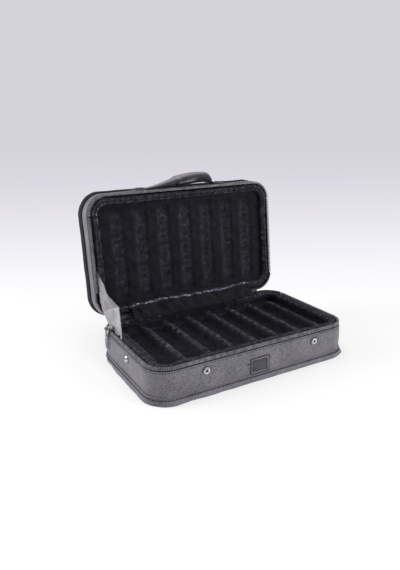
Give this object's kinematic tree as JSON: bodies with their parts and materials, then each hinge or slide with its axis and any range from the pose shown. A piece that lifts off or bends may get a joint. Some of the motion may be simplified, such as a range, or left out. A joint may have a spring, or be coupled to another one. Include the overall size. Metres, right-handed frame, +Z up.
{
  "type": "zippered harmonica case",
  "caption": "Soft-sided zippered case with a hinged lid, padded rims, a slotted instrument tray, a channelled lid lining and a carrying handle.",
  "frame": {"origin": "middle of the case's underside, on the surface it stands on", "axes": "+X to the right along the case's width, +Y towards the hinge, +Z up; the lid stands open 96 degrees at rest"},
  "size_m": [0.2566, 0.1943, 0.2024],
  "materials": {
    "case_cloth": "black fine-grained coated cloth, satin",
    "binding_cloth": "black cloth binding, folded and stitched",
    "patch_cloth": "black woven patch with sewn edges",
    "board": "dark fibre board",
    "plush": "black short-pile plush over foam",
    "zipper_tape": "black woven tape",
    "zipper_teeth": "black moulded teeth",
    "satin": "grey satin lining",
    "nickel": "nickel plated"
  },
  "bodies": {
    "base": {"base_bottom_cover": "case_cloth", "base_bottom_board": "board", "base_side_cover": "case_cloth", "base_wall_board": "board", "base_binding": "case_cloth", "base_piping": "case_cloth", "base_zipper_tape": "zipper_tape", "base_zipper_teeth": "zipper_teeth", "base_zipper_stops": "nickel", "base_rim_pad": "plush", "tray_floor": "plush", "tray_frame": "plush", "slot_dividers": "plush", "front_patch": "patch_cloth", "band_rivets": "nickel", "rivet_washers": "nickel", "hinge_cover": "case_cloth", "hinge_flap": "plush", "side_gusset": "satin"},
    "lid": {"lid_top_cover": "case_cloth", "lid_top_board": "board", "lid_side_cover": "case_cloth", "lid_wall_board": "board", "lid_binding": "binding_cloth", "lid_piping": "case_cloth", "lid_zipper_tape": "zipper_tape", "lid_zipper_teeth": "zipper_teeth", "lid_zipper_stop": "nickel", "lid_rim_pad": "plush", "lid_lining": "plush", "handle_anchors": "case_cloth"},
    "handle": {"handle_strap_left": "case_cloth", "handle_strap_right": "case_cloth", "handle_grip": "case_cloth"},
    "slider": {"zipper_slider": "nickel"},
    "pull": {"zipper_pull": "nickel"}
  },
  "joints": [
    {"name": "lid_hinge", "type": "hinge", "parent": "base", "child": "lid", "pos_m": [0, 0.0734, 0.042], "axis": [1, 0, 0], "range_deg": [0, 96], "deforming": ["hinge_cover", "hinge_flap", "side_gusset"]},
    {"name": "handle_swing", "type": "hinge", "parent": "lid", "child": "handle", "pos_m": [0, 0.1023, 0.18778], "axis": [1, 0, 0], "range_deg": [-10, 22], "deforming": ["handle_strap_left", "handle_strap_right"]},
    {"name": "slider_travel", "type": "slide", "parent": "base", "child": "slider", "axis": [0, -1, 0], "range_m": [0, 0.09]},
    {"name": "pull_swing", "type": "hinge", "parent": "slider", "child": "pull", "pos_m": [-0.1278, 0.046, 0.044], "axis": [0, 1, 0], "range_deg": [0, 150]}
  ]
}
